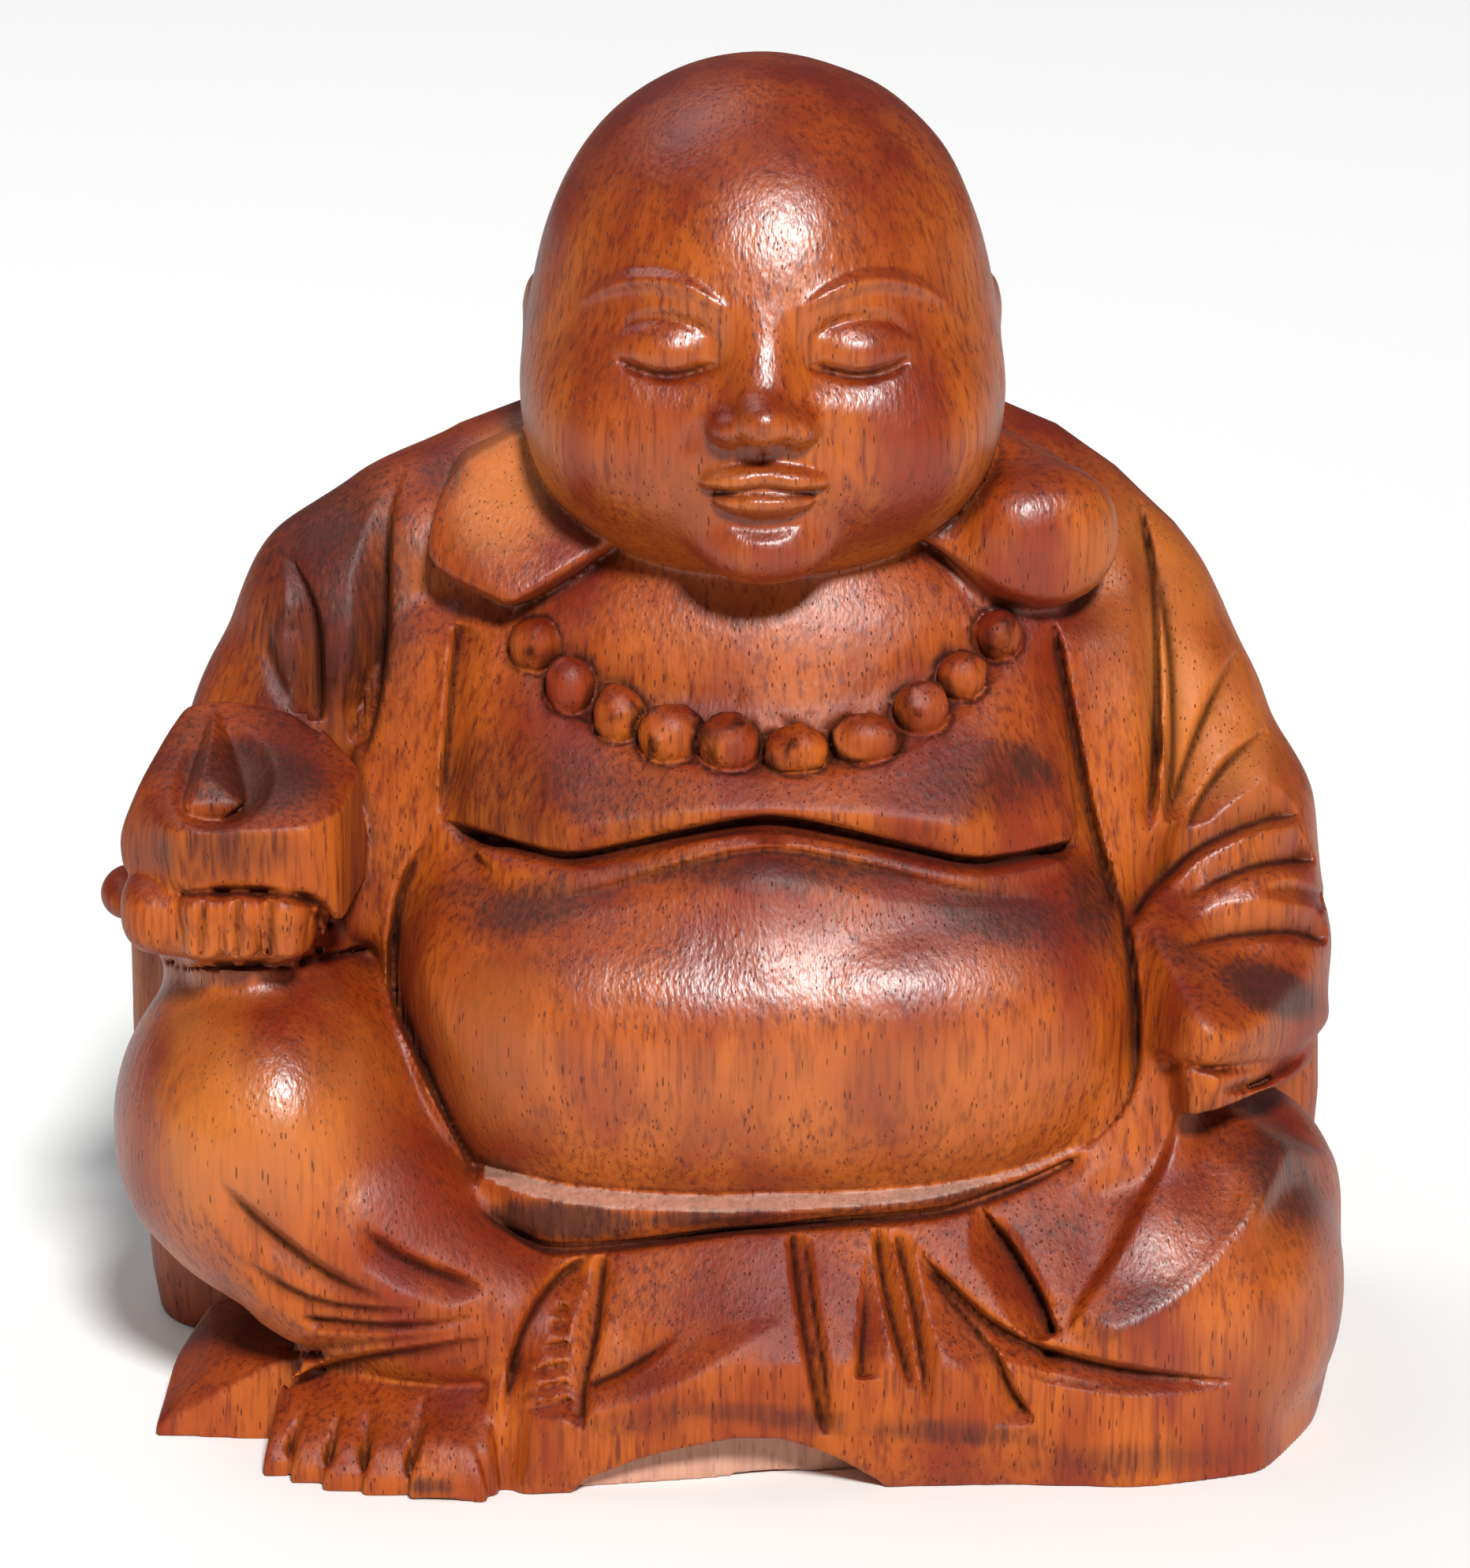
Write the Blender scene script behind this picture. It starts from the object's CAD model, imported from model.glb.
# %% [markdown]
# # A seated figure carved from one block of hardwood
# The real thing is one piece of red-brown tropical hardwood, worked with gouges and knives, sanded,
# and finished with a satin clear lacquer. The CAD model holds its size and its main masses. This
# script carves the same figure much finer, gives it the wood's looks, and puts a camera, a floor and
# soft lights round it. All lengths below are millimetres until a mesh is made, and then metres.

# %% The frame
import math

import bpy
import numpy as np
from mathutils import Euler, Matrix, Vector
from mathutils.kdtree import KDTree


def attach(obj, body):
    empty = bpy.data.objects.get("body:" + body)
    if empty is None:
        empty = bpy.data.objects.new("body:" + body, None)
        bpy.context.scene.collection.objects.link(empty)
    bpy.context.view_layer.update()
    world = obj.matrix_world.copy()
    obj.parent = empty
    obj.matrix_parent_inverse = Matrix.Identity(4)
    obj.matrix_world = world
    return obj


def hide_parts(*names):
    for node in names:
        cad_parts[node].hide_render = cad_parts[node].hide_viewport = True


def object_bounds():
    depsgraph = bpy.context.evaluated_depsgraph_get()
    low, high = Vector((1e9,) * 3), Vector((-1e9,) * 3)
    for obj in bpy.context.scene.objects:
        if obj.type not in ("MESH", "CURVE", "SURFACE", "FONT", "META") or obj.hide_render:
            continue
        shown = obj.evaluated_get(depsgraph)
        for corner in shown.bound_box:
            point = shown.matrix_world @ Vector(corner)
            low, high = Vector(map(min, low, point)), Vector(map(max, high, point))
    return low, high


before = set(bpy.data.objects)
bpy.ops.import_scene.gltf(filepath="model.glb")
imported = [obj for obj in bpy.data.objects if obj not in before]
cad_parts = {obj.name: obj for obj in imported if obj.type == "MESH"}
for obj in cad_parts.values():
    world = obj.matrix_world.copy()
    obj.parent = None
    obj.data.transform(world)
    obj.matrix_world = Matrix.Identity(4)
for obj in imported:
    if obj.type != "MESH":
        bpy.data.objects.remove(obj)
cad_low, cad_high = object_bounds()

MM = 0.001
NODE = "carved_figure"
print("CAD box in mm:", [round(side / MM, 1) for side in cad_high - cad_low])

# %% [markdown]
# ## Where the camera stands
# The photograph looks straight at the figure's front, from about sixteen degrees above. The same
# view does a second job here: a carver draws the creases on the block's front before cutting them,
# and the lines below are drawn that way, as points of the photograph on the view from this camera.

# %% The camera
PHOTO = (1864, 1988)
PIXEL_MM = 0.112
LOOK_DOWN = math.radians(16.0)
DISTANCE = 900.0
TARGET = np.array([1.2, 0.0, 92.4])
FORWARD = np.array([0.0, math.cos(LOOK_DOWN), -math.sin(LOOK_DOWN)])
UP = np.array([0.0, math.sin(LOOK_DOWN), math.cos(LOOK_DOWN)])


def on_drawing(points):
    """Where points in millimetres fall on the photograph, in its pixels, and how far each lies."""
    offset = points - TARGET
    far = DISTANCE + offset @ FORWARD
    across = PHOTO[0] / 2 + offset[:, 0] * DISTANCE / far / PIXEL_MM
    down = PHOTO[1] / 2 - (offset @ UP) * DISTANCE / far / PIXEL_MM
    return np.stack([across, down], 1), far


print("camera above the horizon by", round(math.degrees(LOOK_DOWN)), "degrees")

# %% [markdown]
# ## A block that can be carved
# Sculpting in code can be done by pushing a mesh's points about, by Booleans, or with a distance
# field: a 3-D grid where each cell holds its distance to the wood's surface, negative inside. The
# field is the best likeness of clay and chisel, because masses melt into each other with a chosen
# softness, cuts stay crisp, and the skin drawn from it at the end is always one closed surface.

# %% The block
CELL = 0.5
START = np.array([-94.0, -63.0, -4.0])
END = np.array([94.0, 61.0, 203.0])
REACH = 5.0
FAR = 40.0
AXES = [np.arange(a, b, CELL, dtype=np.float32) for a, b in zip(START, END)]
COUNT = np.array([len(axis) for axis in AXES])
field = np.full(COUNT, FAR, np.float32)
print("cells in the block:", field.size)


def window(low, high, margin):
    """The part of the block round a form, and the coordinates of its cells."""
    first = np.clip(((np.array(low) - margin - START) / CELL).astype(int), 0, COUNT)
    last = np.clip(((np.array(high) + margin - START) / CELL).astype(int) + 2, 0, COUNT)
    part = tuple(slice(a, b) for a, b in zip(first, last))
    x, y, z = (axis[cells] for axis, cells in zip(AXES, part))
    return part, (x[:, None, None], y[None, :, None], z[None, None, :])


def soft_min(a, b, blend):
    """The smaller of two distances, rounded where they meet."""
    if blend <= 0:
        return np.minimum(a, b)
    overlap = np.maximum(blend - np.abs(a - b), 0) / blend
    return np.minimum(a, b) - overlap * overlap * (blend / 4)


def join(form, blend=2.0):
    """Adds a form to the wood, with a fillet of about the blend's size."""
    low, high, distance = form
    part, grid = window(low, high, REACH + blend)
    field[part] = soft_min(field[part], distance(*grid), blend)


def cut(form, blend=0.6):
    """Takes a form out of the wood."""
    low, high, distance = form
    part, grid = window(low, high, REACH)
    field[part] = -soft_min(-field[part], distance(*grid), blend)


# %% [markdown]
# ## The carver's forms
# Three kinds of form make the whole figure. A ball is an ellipsoid, or a squarer one when its power
# is above two. A limb is a round tube that tapers through a row of stations. A faceted form is the
# solid stretched over a few corners, with its arrises softened, as a broad chisel leaves wood.

# %% Forms


def turned(x, y, z, centre, turn):
    """Coordinates seen from a form's own centre and turn, in degrees about X, Y and Z."""
    x, y, z = x - centre[0], y - centre[1], z - centre[2]
    if not any(turn):
        return x, y, z
    m = np.array(Euler([math.radians(angle) for angle in turn]).to_matrix(), np.float32)
    return [m[0, i] * x + m[1, i] * y + m[2, i] * z for i in range(3)]


def ball(centre, radii, turn=(0, 0, 0), power=2.0):
    def distance(x, y, z):
        shares = [np.abs(p) / r for p, r in zip(turned(x, y, z, centre, turn), radii)]
        reach = np.maximum(sum(s**power for s in shares) ** (1 / power), 1e-3)
        slope = sum(((s / reach) ** (power - 1) / r) ** 2 for s, r in zip(shares, radii))
        return (reach - 1) / np.sqrt(np.maximum(slope, 1e-6))

    reach = max(radii) if any(turn) else np.array(radii)
    return np.array(centre) - reach, np.array(centre) + reach, distance


def limb(*stations, flat=1.0, blend=1.0):
    """A tapering tube through (x, y, z, radius); flat under 1 squashes it along Y."""
    points = np.array(stations, np.float32)

    def distance(x, y, z):
        found = None
        for (ax, ay, az, ar), (bx, by, bz, br) in zip(points, points[1:]):
            dx, dy, dz = bx - ax, (by - ay) / flat, bz - az
            px, py, pz = x - ax, (y - ay) / flat, z - az
            t = np.clip((px * dx + py * dy + pz * dz) / (dx * dx + dy * dy + dz * dz), 0, 1)
            away = np.sqrt((px - t * dx) ** 2 + (py - t * dy) ** 2 + (pz - t * dz) ** 2)
            d = (away - (ar + (br - ar) * t)) * min(1.0, 0.5 + flat / 2)
            found = d if found is None else soft_min(found, d, blend)
        return found

    r = points[:, 3:]
    return (points[:, :3] - r).min(0), (points[:, :3] + r).max(0), distance


def faceted(*corners, arris=1.5):
    """The solid stretched over the corners, its arrises rounded."""
    points = np.array(corners, float)
    middle = points.mean(0)
    planes = []
    for i in range(len(points)):
        for j in range(i + 1, len(points)):
            for k in range(j + 1, len(points)):
                normal = np.cross(points[j] - points[i], points[k] - points[i])
                length = np.linalg.norm(normal)
                if length < 1e-6:
                    continue
                normal = normal / length * np.sign(normal @ (points[i] - middle) or 1)
                level = normal @ points[i]
                if (points @ normal).max() > level + 1e-6:
                    continue
                if all(abs(normal @ n - 1) > 1e-6 or abs(level - c) > 1e-3 for n, c in planes):
                    planes.append((normal, level))

    def distance(x, y, z):
        found = None
        for (a, b, c), level in planes:
            d = np.float32(a) * x + np.float32(b) * y + np.float32(c) * z - np.float32(level)
            found = d if found is None else -soft_min(-found, -d, arris)
        return found

    return points.min(0), points.max(0), distance


def bell(levels):
    """A cloak through level outlines (z, middle x, half width, front y, back y, squareness)."""
    table = np.array(levels, np.float32)

    def distance(x, y, z):
        middle, half, front, back, power = (np.interp(z, table[:, 0], column) for column in table.T[1:])
        lean = np.hypot(1.0, np.interp(z, table[:, 0], np.gradient(table[:, 2], table[:, 0])))
        across = np.abs(x - middle) / half
        deep = np.abs(y - (front + back) / 2) / ((back - front) / 2)
        reach = np.maximum((across**power + deep**power) ** (1 / power), 1e-3)
        slope = ((across / reach) ** (power - 1) / half) ** 2
        slope = slope + ((deep / reach) ** (power - 1) / ((back - front) / 2)) ** 2
        side = (reach - 1) / np.sqrt(np.maximum(slope, 1e-6)) / lean
        return np.maximum(side, z - table[-1, 0])

    low = (table[:, 1] - table[:, 2]).min(), table[:, 3].min(), table[0, 0]
    high = (table[:, 1] + table[:, 2]).max(), table[:, 4].max(), table[-1, 0]
    return np.array(low), np.array(high), distance


# %% [markdown]
# ## The cloak
# The back half of the log is a bell-shaped cloak: square in plan at the ground, where the block was
# sawn, and rounder as it climbs over the shoulders to the neck. On the real figure it is the least
# worked part, so it is a single form through level outlines.

# %% Cloak
AXIS_X = 5.0
CLOAK = (
    (-6, 0.0, 83.0, 3, 53, 3.4),
    (12, 0.0, 85.5, 1, 55, 3.4),
    (40, 0.0, 87.5, 0, 55.5, 3.2),
    (66, -0.5, 87.0, -1, 54, 3.0),
    (80, 0.0, 84.0, -3, 52, 2.8),
    (92, 1.0, 79.5, -4, 49.5, 2.6),
    (104, 2.0, 74.0, -5, 46.5, 2.5),
    (116, 2.7, 67.5, -6, 42.5, 2.4),
    (127, 3.3, 60.0, -6, 38, 2.3),
    (135, 4.0, 51.5, -4, 33.5, 2.2),
    (141, 4.6, 43.0, -1, 30, 2.1),
    (146, 5.0, 31.0, 4, 26, 2.0),
    (149, 5.0, 16.0, 9, 21, 2.0),
)
join(bell(CLOAK), 0)

# %% [markdown]
# ## Trunk
# The chest is one broad slab that slopes forward from the neck to a straight-cut lip, and the belly
# swells out below it. A thin flange runs between them like a second fold of skin.

# %% Chest and belly
join(ball((AXIS_X, 4, 92), (51, 31, 46)), 6)
join(ball((AXIS_X, -5, 112), (43, 19, 22)), 8)
CHEST = (
    (-37, -24, 93.0),
    (-22, -35, 91.8),
    (35, -36, 91.8),
    (50, -24, 91.5),
    (-36, -25.5, 95.5),
    (-21, -36.5, 96.2),
    (0, -38, 99.0),
    (12, -38, 99.0),
    (32, -37.5, 97.0),
    (49.5, -25, 93.5),
    (-36, -8, 126),
    (46, -8, 126),
    (-14, -11.5, 128.5),
    (24, -11.5, 128.5),
    (-38, 4, 91),
    (50, 4, 91),
)
join(faceted(*CHEST, arris=1.2), 1.5)
LIP_ARCH = ((-24, 91.2), (5.8, 97.4), (37, 91.2), (5.8, 84))
cut(faceted(*[(x, y, z) for x, z in LIP_ARCH for y in (-48, -33.5)], arris=0.3), 0.6)
join(ball((AXIS_X, -6, 75), (51.5, 32.0, 18.8), power=2.8), 2)
join(ball((AXIS_X + 1.3, -7, 69.5), (54.5, 42.5, 27.6), (16, 0, 0), 2.5), 5)
join(ball((-10, -7, 69.6), (38, 40, 26.8), (16, 0, 0), 2.6), 5)
join(ball((23, -6.5, 70.4), (37.6, 40, 26.6), (16, 0, 0), 2.6), 5)
FLANGE = (
    (-35, -24, 92.0),
    (5.8, -34, 97.0),
    (47, -24, 92.0),
    (-36, -28.5, 91.4),
    (-30, -33.2, 90.0),
    (47.5, -28.5, 91.4),
    (41.5, -33.2, 90.0),
    (-20, -37.0, 88.2),
    (-12, -38.6, 90.0),
    (5.8, -40.3, 94.2),
    (24, -38.6, 90.0),
    (33.5, -37.0, 88.2),
    (-18, -38, 80),
    (30, -38, 80),
    (5.8, -45, 80),
    (5.8, -10, 97),
)
join(faceted(*FLANGE, arris=1.8), 3.5)

# %% [markdown]
# ## Waist and lap
# A sash peeps out under the belly, and from it the robe slopes forward over the crossed legs to a
# crest, where its front drops straight to the ground.

# %% Sash and lap
GROUND = 5.8
SASH_RIM = (
    (-34.2, -37.6, 47.0),
    (-28.4, -41.0, 45.6),
    (-18.2, -43.5, 44.4),
    (-5.7, -44.4, 43.9),
    (5.9, -44.8, 44.1),
    (19.1, -44.4, 44.7),
    (30.3, -42.8, 45.9),
    (40.1, -40.0, 47.6),
    (48.4, -35.5, 49.9),
)
SASH_FOOT = (
    (-35.1, -36.3, 42.2),
    (-30.5, -38.9, 39.5),
    (-25.0, -40.9, 37.1),
    (-18.3, -42.0, 37.5),
    (-7.8, -43.2, 39.2),
    (1.3, -43.5, 40.9),
    (15.0, -43.5, 41.8),
    (30.3, -42.4, 43.1),
    (42.0, -39.3, 46.4),
    (49.7, -34.2, 48.9),
)
SASH_BACK = [(x, y + 9, z + 3.4) for x, y, z in SASH_RIM[2:-2:2]]
SASH_BACK += [(-34, -20, 46.5), (48, -20, 51), (-36, 0, 36), (50, 0, 40)]
SASH = (*SASH_RIM, *SASH_FOOT, *SASH_BACK)
join(faceted(*SASH, arris=0.5), 0.4)
LAP = (
    (-31, -36, 38.6),
    (-25, -39, 36.4),
    (-18, -41, 37.2),
    (-8, -42.8, 39.2),
    (1, -43, 40.6),
    (15, -43, 41.5),
    (30, -42, 42.9),
    (42, -39, 46.2),
    (49, -34, 49.4),
    (62, -30.5, 48.4),
    (55, -40.3, 39.6),
    (-27, -53.5, 17.5),
    (-10, -55.2, 20.8),
    (3, -54.4, 26.2),
    (13, -54.6, 24.0),
    (20, -54.6, 25.2),
    (36, -54.2, 24.2),
    (47, -51.8, 27.8),
    (-30, -52, 2),
    (-27, -54.5, 9),
    (38, -53, 13),
    (38, -48, 2),
    (-42, 0, 42),
    (56, 0, 46),
    (-40, 0, 2),
    (60, 0, 2),
)
join(faceted(*LAP, arris=1.2), 0.6)

# %% [markdown]
# ## Legs
# The leg at the viewer's left is drawn up: a smooth egg of a knee that tapers down to the ankle,
# with the robe's hem spread over the foot. The other lies flat and turns a broad faceted knee out.

# %% Raised leg
join(limb((-38, 6, 44, 24), (-60, -12, 49, 24.5)), 3)
join(ball((-63.0, -20.5, 50), (22.2, 28.5, 26)), 2)
SHIN = ((-62.5, -22, 49, 23), (-52, -31, 37.5, 17.5), (-43, -36, 30.5, 13), (-31, -38, 27, 11.5))
join(limb(*SHIN, blend=6), 3)

cut(limb((-95, -20, 23, 8.0), (-75, -24, 25.0, 5.6), (-63, -31, 24.6, 3.0), (-53, -40, 23.4, 0.8)), 0.8)

# %% Foot and the hem over it
INSTEP = (
    (-64.2, -44.5, 2),
    (-63.8, -45.0, 9.0),
    (-58, -48.0, 10.4),
    (-50, -51.0, 11.4),
    (-40, -53.4, 12.6),
    (-32, -54.4, 13.0),
    (-31, -54.5, 2),
    (-60, -46, 2),
    (-61, -37, 18.5),
    (-52, -37, 22.5),
    (-33, -40, 25.5),
    (-60, -28, 2),
    (-30, -28, 2),
    (-30, -30, 27),
)
join(faceted(*INSTEP, arris=1.6), 0.8)
TOES = (
    (-61.8, -46.2, 3.0, 5.4),
    (-57.7, -48.9, 3.3, 5.8),
    (-52.6, -51.5, 3.6, 6.0),
    (-46.8, -53.2, 3.9, 6.4),
    (-38.4, -55.4, 6.3, 7.4),
)
for toe_x, toe_y, half_width, tall in TOES:
    nail = [
        (toe_x - half_width * 0.9, toe_y - 0.4, 2),
        (toe_x + half_width * 0.9, toe_y - 0.8, 2),
        (toe_x - half_width * 0.85, toe_y - 0.6, GROUND + tall * 0.45),
        (toe_x + half_width * 0.85, toe_y - 1.0, GROUND + tall * 0.45),
        (toe_x - half_width * 0.65, toe_y + 1.6, GROUND + tall),
        (toe_x + half_width * 0.65, toe_y + 1.2, GROUND + tall),
        (toe_x, toe_y + 11, GROUND + tall + 5.0),
        (toe_x - half_width, toe_y + 11, 2),
        (toe_x + half_width, toe_y + 11, 2),
    ]
    join(faceted(*nail, arris=0.8), 0.5)
HEM = (
    (-59, -38, 19.0),
    (-52, -43, 21.5),
    (-43.6, -44, 22.0),
    (-33, -45, 24.5),
    (-62, -28, 20),
    (-30, -36, 30),
    (-40, -20, 28),
    (-30, -20, 8),
    (-56, -22, 10),
    (-31, -44, 12),
    (-34, -40, 6),
)
join(faceted(*HEM, arris=1.2), 1.2)
BESIDE_FOOT = (
    (-34, -51, 2),
    (-26, -53.5, 2),
    (-33, -50, 20),
    (-25, -52, 23),
    (-22, -42, 36),
    (-33, -38, 31),
    (-33, -20, 2),
    (-20, -20, 2),
)
join(faceted(*BESIDE_FOOT, arris=1.5), 1.0)

# %% Corner of the robe on the ground
FLAP = (
    (-81, -32, 3),
    (-80.5, -31.5, 7.5),
    (-64, -33, 2),
    (-73, -27.5, 15),
    (-61, -32, 18.0),
    (-52, -32, 20),
    (-79, -17, 11.5),
    (-74, -8, 17),
    (-50, 0, 23),
    (-76, 4, 10),
    (-76, 4, 0),
    (-50, 4, 0),
    (-56, -33, 2),
)
join(faceted(*FLAP, arris=0.5), 0.8)

# %% Flat leg
join(limb((38, 4, 38, 23), (58, -12, 33, 24)), 3)
join(ball((62.5, -17, 25), (25.2, 31.0, 24.5), power=2.2), 2)
join(ball((70, -9, 34), (17.8, 20, 17)), 2)
KNEE = (
    (64.5, -24, 55.5),
    (62.5, -30, 48.9),
    (55.7, -40, 39.8),
    (47.1, -52.0, 28.4),
    (53.0, -52.5, 29.4),
    (61.0, -50.5, 32.0),
    (67.1, -46.5, 37.0),
    (73.9, -40, 43.8),
    (79.0, -30, 48.6),
    (86, -17, 42),
    (88, -14, 28),
    (87.4, -19, 18.5),
    (85.2, -25, 10.5),
    (82, -31, 5),
    (77, -42, 5),
    (76, -44, 12),
    (74, -46, 3),
    (56, -51.8, 8),
    (56, -50, 2),
    (34, -52.5, 14),
    (36, -48, 2),
    (70, 4, 50),
    (50, -20, 52),
    (88, 4, 2),
    (88, 4, 36),
    (50, 4, 2),
)
join(faceted(*KNEE, arris=1.6), 1.2)
cut(ball((78, -56, 61), (20, 26, 14.2), (-38, 0, -28)), 1.0)

# %% Core of the seat
# uncut wood of the block inside the seat, where the legs meet the cloak
CORE = (
    (30, -8, 2),
    (30, 16, 2),
    (86, 0, 2),
    (86, 0, 34),
    (82.2, 16, 2),
    (83.5, 16, 34),
    (30, -8, 34),
    (30, 16, 34),
)
UNDER_LEG = (
    (-60, -30, 2),
    (-36, -30, 2),
    (-58, -29, 14),
    (-38, -29, 24),
    (-60, 8, 2),
    (-36, 8, 2),
    (-58, 8, 20),
    (-36, 8, 28),
)
join(faceted(*CORE, arris=2), 2)
join(faceted(*UNDER_LEG, arris=1), 1)

# %% [markdown]
# ## Arms, fist and ingot
# Both arms hang inside wide sleeves. One sleeve ends on the flat leg's knee. The other hand rests on
# the raised knee and grips a boat-shaped ingot from below.

# %% Arms
LEFT_ARM = ((-43, 9, 122.5, 15.6), (-52.4, 8, 115, 15.9), (-60, 7, 100, 15), (-68, 3, 84, 14.5))
join(limb(*LEFT_ARM, (-68, -14, 79, 12.5), (-67, -26, 80, 9.5), blend=4), 5)
RIGHT_ARM = ((46, 9, 121, 14.5), (54, 8, 113, 15), (60.2, 6, 101, 15.2), (67.6, 2, 86, 15.6))
join(limb(*RIGHT_ARM, (70, -10, 72, 15.5), blend=4), 5)
LAPEL = (
    (36, -16.5, 119),
    (54, -10.0, 119),
    (36, -24.0, 98),
    (59, -17.0, 98),
    (38, -27.0, 76),
    (60, -21.0, 76),
    (36, 4, 124),
    (54, 4, 124),
    (38, 0, 66),
    (62, 0, 66),
)
for side in (-1, 1):
    join(faceted(*[(AXIS_X + side * x, y, z) for x, y, z in LAPEL], arris=4.0), 3)
SLEEVE = (
    (52, -18, 88),
    (54.5, -25, 80),
    (54.5, -28, 73),
    (55.0, -30, 62.2),
    (63, -43.5, 70.5),
    (61, -42.0, 63.2),
    (66.5, -44.5, 64.8),
    (65.5, -44.6, 71.5),
    (73.5, -39.5, 69.5),
    (80, -6, 82),
    (82.5, -19, 75),
    (85.5, -18, 69),
    (87.6, -11, 60.5),
    (82.4, -20, 58.4),
    (79.0, -28, 58.2),
    (87, -5, 58),
    (58, -18, 60),
    (62, 4, 84),
    (80, 4, 78),
    (84, 4, 58),
)
join(faceted(*SLEEVE, arris=3.0), 2.5)
HAND = (
    (62.5, -41.5, 64),
    (67.4, -42.5, 63),
    (64.3, -41.0, 56.6),
    (66.8, -41.5, 57.0),
    (79, -28.5, 57.2),
    (82.4, -19, 56.5),
    (60, -24, 56),
    (80, -10, 56),
    (66, -20, 66),
    (84, -14, 62),
)
join(faceted(*HAND, arris=1.0), 0.5)
UNDER_SLEEVE = (
    (53, -28, 64),
    (60, -32.0, 63.5),
    (67, -31.5, 62.5),
    (65.5, -28, 54.5),
    (62.0, -33.5, 47.0),
    (49.5, -37.0, 46.5),
    (49, -33.0, 52),
    (54, -10, 62),
    (72, -10, 60),
    (60, -10, 40),
)
join(faceted(*UNDER_SLEEVE, arris=1.5), 4)

# %% Fist
join(ball((-67.5, -31, 84), (13.0, 10.0, 7.6), power=2.6), 1)
join(ball((-77.2, -31, 83.8), (6.0, 9.0, 5.8), power=2.6), 0.8)
for finger_x, thick in ((-71.2, 3.0), (-66.2, 2.9), (-60.4, 3.4)):
    knuckle = (finger_x, -37, 89.0, thick)
    bend = (finger_x, -40.6, 86.4, thick)
    finger = (knuckle, bend, (finger_x, -40.4, 81.6, thick - 0.2))
    join(limb(*finger, blend=1.5), 0.3)

# %% Ingot
INGOT = (
    (-75.5, -41.5, 98.0),
    (-66.5, -43.0, 98.2),
    (-57.5, -43.0, 98.6),
    (-52.5, -39, 100.1),
    (-74.3, -41, 89.4),
    (-64.0, -42.3, 90.0),
    (-55.4, -42, 88.6),
    (-52.0, -38, 83.2),
    (-81.0, -26, 100.4),
    (-84.0, -28, 94.0),
    (-83.5, -30, 88.8),
    (-79.0, -35, 86.2),
    (-76, -14, 107.8),
    (-71.2, -15, 109.4),
    (-58.0, -16, 107.2),
    (-50.2, -26, 102.2),
    (-74, -6, 104),
    (-56, -8, 100),
    (-50, -14, 84),
    (-78, -8, 86),
)
join(faceted(*INGOT, arris=1.2), 0.6)
cut(ball((-69.9, -32.4, 105.9), (9.4, 14.5, 6.6), (22, 0, 6)), 0.4)
TONGUE = (
    (-70.9, -17.5, 109.0),
    (-73.6, -37.8, 100.2),
    (-66.0, -37.4, 100.2),
    (-71.3, -34.6, 104.2),
    (-70.8, -26.0, 107.4),
    (-75.5, -30, 98),
    (-65.0, -28, 98),
    (-72.0, -37.0, 95),
)
join(faceted(*TONGUE, arris=0.5), 0.4)
join(ball((-86.3, 9, 73.7), (4.0, 7, 3.6)), 0.6)

# %% [markdown]
# ## Head
# A round bald head sits low between the shoulders. The face on it is a calm one of this script's
# own, laid out by the usual rules of drawing: eyes half way down, five eye-widths across, and the
# nose and the mouth at thirds of what is left.

# The head is modelled in a block of its own and set on the neck at the end, so that its jaw laps
# crisply over the chest.

# %% Head
join(ball((AXIS_X, 4, 129), (29, 24, 17)), 3)
body = field
field = np.full(COUNT, FAR, np.float32)
join(ball((AXIS_X, -1, 163.5), (31.5, 33, 33.5)), 2)
join(ball((AXIS_X, -6.0, 148.5), (33.0, 29.5, 22.8), power=2.15), 9)

# %% Face
EYE_Z = 161.5
EYE_X = 12.8
for side in (-1, 1):
    join(ball((AXIS_X + side * 17.5, -19.5, 148.5), (12.5, 13.5, 11.5)), 6)
    cut(ball((AXIS_X + side * 12.0, -38.0, EYE_Z + 1.0), (9.5, 6.4, 5.6), (0, side * -6, 0)), 4)
    join(ball((AXIS_X + side * EYE_X, -26.3, EYE_Z - 0.2), (8.6, 6.8, 5.4), (0, 0, side * 14)), 1.2)
NOSE = (
    (-2.0, -33.0, 168.5),
    (2.0, -33.0, 168.5),
    (-1.9, -40.2, 156.0),
    (1.9, -40.2, 156.0),
    (-2.8, -41.6, 152.8),
    (2.8, -41.6, 152.8),
    (-5.6, -31.0, 166.0),
    (5.6, -31.0, 166.0),
    (-6.2, -34.0, 151.8),
    (6.2, -34.0, 151.8),
    (0.0, -38.6, 150.4),
    (-4.5, -33.0, 150.0),
    (4.5, -33.0, 150.0),
)
join(faceted(*[(AXIS_X + x, y, z) for x, y, z in NOSE], arris=1.6), 1.6)
join(ball((AXIS_X, -39.4, 153.8), (3.6, 3.6, 3.2)), 2.0)
for side in (-1, 1):
    join(ball((AXIS_X + side * 4.7, -36.2, 152.5), (2.8, 4.2, 2.5)), 1.6)
    cut(ball((AXIS_X + side * 2.8, -38.2, 149.6), (1.5, 2.0, 1.1)), 0.5)
    join(ball((AXIS_X + side * 3.0, -34.6, 145.4), (5.8, 3.6, 2.0), (0, side * 8, 0)), 1.0)
join(ball((AXIS_X, -34.4, 142.3), (7.0, 3.6, 2.4)), 0.6)
join(ball((AXIS_X, -30.0, 134.6), (9.0, 6.0, 5.2)), 4)

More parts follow.
